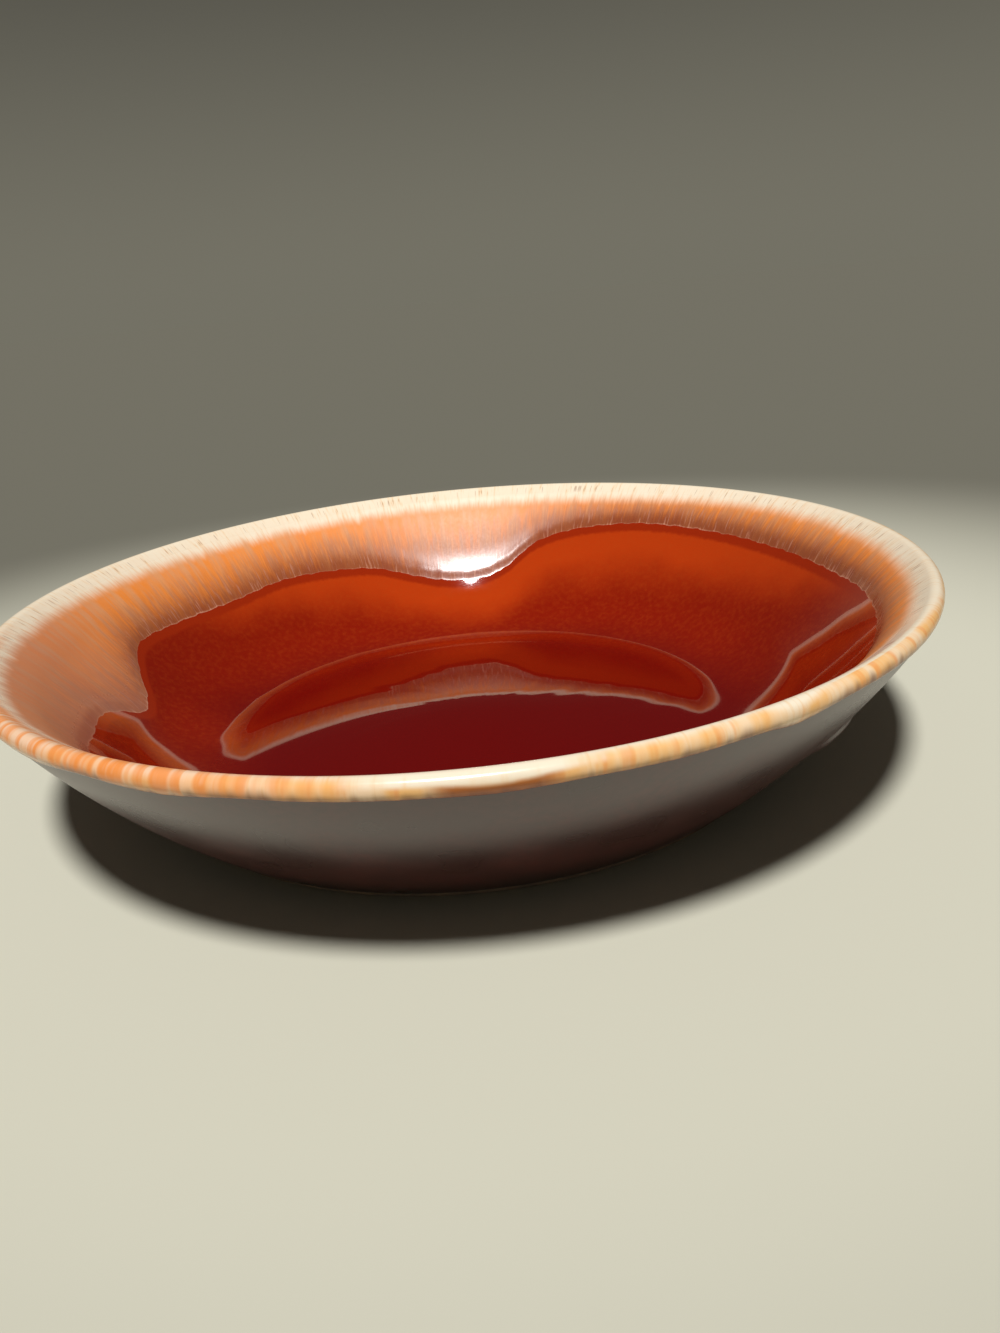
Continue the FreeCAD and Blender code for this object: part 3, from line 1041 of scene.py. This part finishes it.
    def front(self, graph: Graph, over: RimValues, tone: Socket) -> Socket:
        """Paint a highlight on one stretch of the front lip as a patch of pure cream, with honey
        below it.

        Args:
            graph: the material's tree.
            over: the values that the colours follow.
            tone: the colour below.

        Returns:
            The colour.
        """
        # Painted highlight: pure cream over the upper part of the front lip, where the lamp's gloss
        # falls
        side = self.highlight_patch_side.mask(graph, self.effects)
        ragged = graph.plus(side, graph.swing(over.middling, self.highlight_patch_swing))
        highlight_patch = graph.times(graph.step(ragged, *self.highlight_patch_levels),
                            graph.step(over.run, *self.highlight_patch_ends),
                            graph.step(over.outside, *self.highlight_patch_starts))
        tone = graph.mix(highlight_patch, tone, self.cream)
        below = graph.step(over.outside, *self.honey_ends)
        honey = graph.times(self.honey_side.mask(graph, self.effects), below)
        return graph.mix(honey, tone, self.honey)

    def skirt(self, graph: Graph, over: RimValues, tone: Socket) -> Socket:
        """Darken the coat towards its outer edge, low on the outside of the lip.

        Args:
            graph: the material's tree.
            over: the values that the colours follow.
            tone: the colour below.

        Returns:
            The colour.
        """
        ragged = graph.plus(over.outside, graph.swing(over.middling, self.skirt_swing))
        share = graph.times(graph.step(ragged, *self.skirt_ends), self.skirt_share)
        return graph.mix(share, tone, self.burnt)

    def roughness(self, graph: Graph, over: RimValues) -> Socket:
        """Make the lip and the drip edge glossy, and the band between them satin.

        Args:
            graph: the material's tree.
            over: the values that the gloss follows.

        Returns:
            The roughness.
        """
        glossier = graph.between(graph.step(over.share, *self.satin_ends), 0.0,
                                 self.band_roughness - self.edge_roughness)
        satin = graph.math("SUBTRACT", self.band_roughness - self.lip_roughness, glossier)
        spread = graph.times(graph.step(over.run, *self.gloss_ends), satin)
        return graph.plus(spread, self.lip_roughness,
                          graph.swing(over.flecks, self.roughness_swing))


@dataclass(frozen=True)
class BareStoneware:
    """Unglazed buff stoneware with fine grog."""

    effects: Effects
    name: str = "bare stoneware"
    buff: Colour = colour(0.46, 0.33, 0.22)
    grey: Colour = colour(0.33, 0.25, 0.18)
    speck: Colour = colour(0.14, 0.08, 0.05)
    roughness: Pair = (0.65, 0.9)
    cloud_size: float = 5.0 * MM
    cloud_ends: Pair = (0.35, 0.65)
    grog_size: float = 0.5 * MM
    grog_ends: Pair = (0.68, 0.78)
    relief_strength: float = 0.5
    relief_rise: float = 0.05 * MM

    def material(self) -> bpy.types.Material:
        """Build the material.

        Returns:
            The material.
        """
        graph, shader = new_material(self.name)
        cloud = graph.group(self.effects.mottle, Size=self.cloud_size, Detail=3.0)
        grog = graph.group(self.effects.mottle, Size=self.grog_size, Detail=2.0)
        tone = graph.mix(graph.step(cloud, *self.cloud_ends), self.buff, self.grey)
        tone = graph.mix(graph.step(grog, *self.grog_ends), tone, self.speck)
        graph.feed(shader.inputs["Base Color"], tone)
        graph.feed(shader.inputs["Roughness"], graph.between(grog, *self.roughness))
        graph.relief(shader, grog, self.relief_strength, self.relief_rise)
        return bpy.data.materials[self.name]


# Pieces of the bowl


@dataclass
class Coat:
    """A piece turned on the bowl's axis, as a closed skin."""

    clay: ClayShape
    steps: int = 384

    def finish(self, piece: bpy.types.Object, node: str, material: bpy.types.Material,
               slot: str) -> bpy.types.Object:
        """Shade a piece, dress it and set it in the place of its solid.

        Args:
            piece: the piece.
            node: the solid's name.
            material: its finish.
            slot: not used.

        Returns:
            The piece.
        """
        smooth(piece)
        dress(piece, material)
        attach(piece, "root")
        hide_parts(node)
        LOG.info("%s: %d faces", piece.name, len(piece.data.polygons))
        return piece

    def drip_end(self, inside: Section, drip: RoundWave, azimuth: float) -> float:
        """Run at which the cream glaze ends inside, apart from its teeth."""
        reach = self.clay.rim_radius - drip.at(azimuth) * self.clay.drip_reach
        return inside.run_to(Measure.RADIUS, reach)


@dataclass
class BrownCoat(Coat):
    """A brown coat, full at its two ends and gently rippled between them."""

    ripple: Ripple = Ripple(0.010 * MM, (7, 12, 19, 31), 110.0)
    first_ease: float = 12.0 * MM
    last_ease: float = 30.0 * MM

    def sink(self, azimuth: float, run: float, last: float) -> float:
        """How far the ripples leave the face below its full height."""
        ease = smooth_step(run / self.first_ease) * smooth_step((last - run) / self.last_ease)
        return ease * (abs(self.ripple.height) * 2 + self.ripple.at(azimuth, run))


@dataclass
class InsideCoat(BrownCoat):
    """The brown glaze inside, from the top of the lip to the middle of the floor."""

    front_stations: int = 130
    back_stations: int = 24

    def build(self, material: bpy.types.Material, drip: RoundWave) -> bpy.types.Object:
        """Build the coat.

        Args:
            material: its finish.
            drip: share of drip_reach that the cream glaze runs down, against azimuth.

        Returns:
            The piece.
        """
        section, depth = self.clay.inside(), self.clay.brown_coat
        front = even_runs(0, section.length, self.front_stations)
        back = even_runs(section.length, 0, self.back_stations)
        outline = [section.at(run, depth) for run in front] + [section.at(run) for run in back]
        for middle in (len(front) - 1, len(front)):
            outline[middle] = (0.0, outline[middle][1])
        piece = turned_mesh("inside_coat", outline, self.steps)
        places, runs, below = front + back, [], []
        edge_runs: dict[float, float] = {}
        for vertex, index, azimuth in stations(piece):
            run, azimuth = places[index], round(azimuth, 3)
            if azimuth not in edge_runs:
                edge_runs[azimuth] = self.drip_end(section, drip, azimuth)
            if 0 < index < len(front) - 1:
                sink = self.sink(azimuth, run, section.length)
                set_place(vertex, *section.at(run, depth - sink))
            runs.append(run)
            below.append(run - edge_runs[azimuth])
        add_values(piece, "run", runs)
        add_values(piece, "edge", below)
        return self.finish(piece, "inside_glaze", material, "brown_glaze_inside")


@dataclass(frozen=True)
class Bead:
    """A long low bead where the glaze has gathered."""

    azimuth: float = 314.0
    height: float = 20.5 * MM
    half_length: float = 7.5
    half_width: float = 3.4 * MM
    rise: float = 0.85 * MM
    steepness: float = 1.5

    def at(self, azimuth: float, height: float) -> float:
        """Work out the bead's thickness at a place.

        Args:
            azimuth: azimuth of the place.
            height: height of the place.

        Returns:
            The extra thickness.
        """
        along = (azimuth % 360 - self.azimuth) / self.half_length
        across = (height - self.height) / self.half_width
        return self.rise * smooth_step(self.steepness * (1 - math.hypot(along, across)))


@dataclass
class OutsideCoat(BrownCoat):
    """The brown glaze outside, from the top of the lip down to the foot."""

    steps: int = 480
    front_stations: int = 90
    back_stations: int = 16
    ripple: Ripple = Ripple(0.012 * MM, (5, 11, 17, 29), 120.0)
    first_ease: float = 10.0 * MM
    last_ease: float = 5.0 * MM
    bead: Bead = Bead()

    def build(self, material: bpy.types.Material) -> bpy.types.Object:
        """Build the coat.

        Args:
            material: its finish.

        Returns:
            The piece.
        """
        section, depth, foot = self.clay.outside(), self.clay.brown_coat, self.clay.foot_height
        past_foot = foot - section.at(section.length, depth)[1]
        last = section.run_to(Measure.HEIGHT, foot + past_foot)
        front = even_runs(0, last, self.front_stations)
        outline = [section.at(run, depth) for run in front]
        outline[-1] = (outline[-1][0], foot)
        outline += [section.at(run) for run in even_runs(section.length, 0, self.back_stations)]
        piece = turned_mesh("outside_coat", outline, self.steps)
        for vertex, index, azimuth in stations(piece):
            if 0 < index < len(front) - 1:
                sink = self.sink(azimuth, front[index], last) - self.bead.at(azimuth, vertex.co.z)
                set_place(vertex, *section.at(front[index], depth - sink))
        return self.finish(piece, "outside_glaze", material, "brown_glaze_outside")


@dataclass
class RimCoat(Coat):
    """The cream glaze over the lip, with its runs inside and its short skirt outside."""

    steps: int = 720
    inner_stations: int = 52
    outer_stations: int = 18
    back_stations: int = 24
    crowding: float = 1.25
    taper: float = 5.0 * MM
    skirt_taper: float = 0.9 * MM
    tuck: float = 0.06 * MM
    thinning: float = 0.08
    thinning_start: float = 3.0 * MM
    thinning_run: float = 6.0 * MM
    ripple_run: float = 4.0 * MM
    ripple: Ripple = Ripple(0.020 * MM, (23, 41, 67, 97), 60.0)
    teeth: Ripple = Ripple(0.15 * MM, (89, 157, 211, 293), 0.0)
    # Outline that is turned first, with its drip as a share of drip_reach; its corners are set later
    usual_drip: float = 0.6
    usual_skirt: float = 3.0 * MM
    usual_depths: Pair = (0.85 * MM, 0.3 * MM)
    # Distance to an edge that a place on the other side of the lip is given
    far_inside: float = 30.0 * MM
    far_outside: float = 4.0 * MM

    def build(self, material: bpy.types.Material, drip: RoundWave,
              skirt: RoundWave) -> bpy.types.Object:
        """Build the coat.

        Args:
            material: its finish.
            drip: share of drip_reach that it runs down inside, against azimuth.
            skirt: height of its outer edge as a share of skirt_wave, against azimuth.

        Returns:
            The piece.
        """
        sections = {Side.INSIDE: self.clay.inside(), Side.OUTSIDE: self.clay.outside()}
        front, back = self.shares()
        usual = {Side.INSIDE: self.usual_drip * self.clay.drip_reach,
                 Side.OUTSIDE: self.usual_skirt}
        outline = []
        for depth, shares in zip(self.usual_depths, (front, back)):
            places = [self.run_of(share, usual) for share in shares]
            outline += [sections[side].at(run, depth) for side, run in places]
        piece = turned_mesh("rim_coat", outline, self.steps)
        ends: dict[float, dict[Side, float]] = {}
        corners, runs, inner_left, outer_left = front + back, [], [], []
        for vertex, index, azimuth in stations(piece):
            azimuth = round(azimuth, 3)
            if azimuth not in ends:
                ends[azimuth] = self.ends(sections, drip, skirt, azimuth)
            side, run = self.run_of(corners[index], ends[azimuth])
            left = ends[azimuth][side] - run
            depth = self.depth(side, run, left, azimuth) if index < len(front) else self.base
            set_place(vertex, *sections[side].at(run, depth))
            runs.append(run)
            inner_left.append(left if side is Side.INSIDE else self.far_inside)
            outer_left.append(left if side is Side.OUTSIDE else self.far_outside)
        add_values(piece, "run", runs)
        add_values(piece, "edge", inner_left)
        add_values(piece, "outside", outer_left)
        return self.finish(piece, "rim_glaze", material, "cream_glaze")

    @property
    def full(self) -> float:
        """Height of the full coat's face over the clay."""
        return self.clay.brown_coat + self.clay.rim_coat

    @property
    def base(self) -> float:
        """Height of the coat's back over the clay, a little way into the brown coat."""
        return self.clay.brown_coat - self.tuck

    def shares(self) -> tuple[list[float], list[float]]:
        """Lay out the corners: 1 at the drip edge, 0 on the lip and -1 at the outer edge.

        Returns:
            Those of the face, from the drip edge on, and those of the back, the other way.
        """
        front = [1 - i / self.inner_stations for i in range(self.inner_stations)]
        front += [-i / self.outer_stations for i in range(self.outer_stations + 1)]
        half = self.back_stations // 2
        return front, [-1 + i / half for i in range(1, half)] + [i / half for i in range(half)]

    def run_of(self, share: float, ends: dict[Side, float]) -> tuple[Side, float]:
        """Find a corner's place.

        Args:
            share: the corner's share.
            ends: run at which the coat ends on each side.

        Returns:
            Its side and its run.
        """
        if share >= 0:
            return Side.INSIDE, share ** self.crowding * ends[Side.INSIDE]
        return Side.OUTSIDE, -share * ends[Side.OUTSIDE]

    def ends(self, sections: dict[Side, Section], drip: RoundWave, skirt: RoundWave,
             azimuth: float) -> dict[Side, float]:
        """Find where the coat ends at an azimuth.

        Args:
            sections: the clay on each side.
            drip: share of drip_reach that it runs down inside.
            skirt: height of its outer edge as a share of skirt_wave.
            azimuth: the azimuth.

        Returns:
            The run at which it ends on each side.
        """
        inner = self.drip_end(sections[Side.INSIDE], drip, azimuth) + self.teeth.at(azimuth)
        height = self.clay.lip_middle - self.clay.skirt_drop
        height += skirt.at(azimuth) * self.clay.skirt_wave
        outer = sections[Side.OUTSIDE].run_to(Measure.HEIGHT, height)
        return {Side.INSIDE: inner, Side.OUTSIDE: outer}

    def depth(self, side: Side, run: float, left: float, azimuth: float) -> float:
        """Work out how high the coat's face stands over the clay.

        Args:
            side: side of the lip.
            run: run of the place.
            left: distance from there to the coat's edge.
            azimuth: azimuth of the place.

        Returns:
            The height.
        """
        ease = smooth_step(left / (self.taper if side is Side.INSIDE else self.skirt_taper))
        ease *= 1 - self.thinning * smooth_step((run - self.thinning_start) / self.thinning_run)
        sink = smooth_step(run / self.ripple_run) * self.ripple.at(azimuth, run)
        return self.base + ((self.full - self.base) * ease - ease * abs(sink))


@dataclass
class BaseCoat(Coat):
    """The brown glaze under the floor, inside the foot ring."""

    steps: int = 192
    stations: int = 40

    def build(self, material: bpy.types.Material) -> bpy.types.Object:
        """Build the coat.

        Args:
            material: its finish.

        Returns:
            The piece.
        """
        rise, reach = self.clay.base_rise, self.clay.foot_radii()[0]
        radius = (reach ** 2 + rise ** 2) / (2 * rise)
        centre = self.clay.foot_height + rise - radius
        outline = []
        for thickness, order in ((self.clay.brown_coat, 1), (0.0, -1)):
            sphere = radius - thickness
            radii = even_runs(0, reach, self.stations)[::order]
            outline += [(across, centre + math.sqrt(sphere ** 2 - across ** 2)) for across in radii]
        piece = turned_mesh("base_coat", outline, self.steps)
        return self.finish(piece, "base_glaze", material, "brown_glaze_base")


@dataclass
class Foot(Coat):
    """The bare foot ring, with the fine rings that turning leaves in it."""

    round_stations: int = 7
    tread_stations: int = 40
    ring_spacing: float = 0.55 * MM
    ring_depth: float = 0.05 * MM

    def build(self, material: bpy.types.Material) -> bpy.types.Object:
        """Build the ring.

        Args:
            material: its finish.

        Returns:
            The piece.
        """
        inner, outer = self.clay.foot_radii()
        rounding, top = self.clay.foot_round_radius, self.clay.foot_height
        outline = [(inner, top)]
        outline += self.corner(inner + rounding, rounding, 180, 270)
        for across in even_runs(inner + rounding, outer - rounding, self.tread_stations)[1:-1]:
            wave = 0.5 - 0.5 * math.cos(math.tau * (across - inner - rounding) / self.ring_spacing)
            outline.append((across, self.ring_depth * wave))
        outline += self.corner(outer - rounding, rounding, 270, 360)
        outline.append((outer, top))
        piece = turned_mesh("turned_foot", outline, self.steps)
        return self.finish(piece, "foot_ring", material, "bare_foot")

    def corner(self, across: float, rounding: float, first: float, last: float) -> list[Pair]:
        """Places round a lower edge of the ring."""
        angles = even_runs(first, last, self.round_stations)
        return [(across + rounding * cosine(turn), rounding * (1 + sine(turn))) for turn in angles]


# Floor, light and camera


@dataclass(frozen=True)
class Studio:
    """Pale floor, one soft lamp high on the viewer's side, and a dim room."""

    floor_size: float = 8.0
    floor_near: Colour = colour(0.64, 0.62, 0.50)
    # Painted shade: the floor's far colour, darker where the lamp's light falls off
    floor_far_shaded: Colour = colour(0.166, 0.158, 0.124)
    floor_ends: Pair = (0.14, 0.36)
    floor_roughness: float = 0.8
    lamp_strength: float = 3.4
    lamp_angle: float = 9.0
    lamp_azimuth: float = -104.0
    lamp_elevation: float = 65.3
    room_low: Colour = colour(0.173, 0.165, 0.129)
    room_high: Colour = colour(0.035, 0.033, 0.029)
    room_light: Colour = colour(0.06, 0.058, 0.052)
    room_ends: Pair = (0.0, 0.42)

    def build(self) -> None:
        """Build all of it."""
        self.floor()
        self.lamp()
        self.room()

    def floor(self) -> None:
        """The floor: pale round the bowl and darker far away, as painted shade where the lamp's
        light falls off.
        """
        start_clean()
        bpy.ops.mesh.primitive_plane_add(size=self.floor_size)
        floor = bpy.context.object
        floor.name = "floor"
        graph, shader = new_material("pale floor")
        # Painted shade: the floor darkens away from the bowl as the lamp's light falls off
        flat = graph.add("ShaderNodeCombineXYZ", dict(enumerate(graph.across())))
        reach = graph.add("ShaderNodeVectorMath", {0: flat.outputs[0]}, operation="LENGTH")
        fade = graph.step(reach.outputs["Value"], *self.floor_ends)
        graph.feed(shader.inputs["Base Color"], graph.mix(fade, self.floor_near, self.floor_far_shaded))
        shader.inputs["Roughness"].default_value = self.floor_roughness
        shader.inputs["Specular IOR Level"].default_value = 0.0
        dress(floor, bpy.data.materials["pale floor"])

    def lamp(self) -> None:
        """The lamp."""
        lamp = bpy.data.lights.new("key lamp", "SUN")
        lamp.energy = self.lamp_strength
        lamp.angle = math.radians(self.lamp_angle)
        holder = bpy.data.objects.new("key lamp", lamp)
        flat = cosine(self.lamp_elevation)
        east, north = flat * cosine(self.lamp_azimuth), flat * sine(self.lamp_azimuth)
        towards = Vector((east, north, sine(self.lamp_elevation)))
        holder.rotation_euler = towards.to_track_quat("Z", "Y").to_euler()
        bpy.context.collection.objects.link(holder)

    def room(self) -> None:
        """The room: soft at the horizon and dim above, and dimmer still as a light."""
        world = bpy.data.worlds.new("room")
        bpy.context.scene.world = world
        world.use_nodes = True
        graph = Graph(world.node_tree)
        place = graph.add("ShaderNodeTexCoord").outputs["Generated"]
        height = graph.add("ShaderNodeSeparateXYZ", {0: place}).outputs[2]
        tone = graph.mix(graph.step(height, *self.room_ends), self.room_low, self.room_high)
        path = graph.add("ShaderNodeLightPath").outputs
        seen = graph.plus(path["Is Camera Ray"], path["Is Glossy Ray"])
        seen = graph.math("ADD", seen, path["Is Transmission Ray"], clamp=True)
        shown = graph.mix(seen, self.room_light, tone)
        background = graph.add("ShaderNodeBackground", {"Color": shown, "Strength": 1.0})
        graph.add("ShaderNodeOutputWorld", {"Surface": background.outputs[0]})


@dataclass(frozen=True)
class Camera:
    """The camera, where the photograph was taken from."""

    place: tuple[float, float, float] = (-26.7 * MM, -261.8 * MM, 117.3 * MM)
    rightward: tuple[float, float, float] = (0.9824, -0.1658, -0.0859)
    upward: tuple[float, float, float] = (0.1376, 0.3323, 0.9331)
    lens: float = 29.15
    sensor: float = 36.0
    nearest: float = 10.0 * MM

    def build(self) -> None:
        """Set it up as the scene's camera."""
        data = bpy.data.cameras.new("camera")
        data.lens = self.lens
        data.sensor_width = self.sensor
        data.clip_start = self.nearest
        camera = bpy.data.objects.new("camera", data)
        right = Vector(self.rightward).normalized()
        backward = right.cross(Vector(self.upward)).normalized()
        upward = backward.cross(right)
        turn = Matrix((right, upward, backward)).transposed().to_4x4()
        camera.matrix_world = Matrix.Translation(Vector(self.place)) @ turn
        bpy.context.collection.objects.link(camera)
        bpy.context.scene.camera = camera


def main() -> None:
    """Build the bowl, then the floor, the light and the camera."""
    logging.basicConfig(level=logging.INFO, format="%(name)s: %(message)s")
    clay = ClayShape()
    effects = Effects(clay)
    drip, skirt = RoundWave(DRIP_EDGE_SHARES), RoundWave(SKIRT_EDGE_SHARES)
    stoneware = BareStoneware(effects).material()
    dress(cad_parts["clay_body"], stoneware)
    InsideCoat(clay).build(InsideBrown(effects).material(), drip)
    OutsideCoat(clay).build(OutsideBrown(effects, "brown glaze outside").material())
    RimCoat(clay).build(CreamRim(effects).material(), drip, skirt)
    BaseCoat(clay).build(OutsideBrown(effects, "brown glaze under the base").material())
    Foot(clay).build(stoneware)
    Studio().build()
    Camera().build()
    bpy.context.scene.view_settings.view_transform = "Standard"


if __name__ == "__main__":
    main()
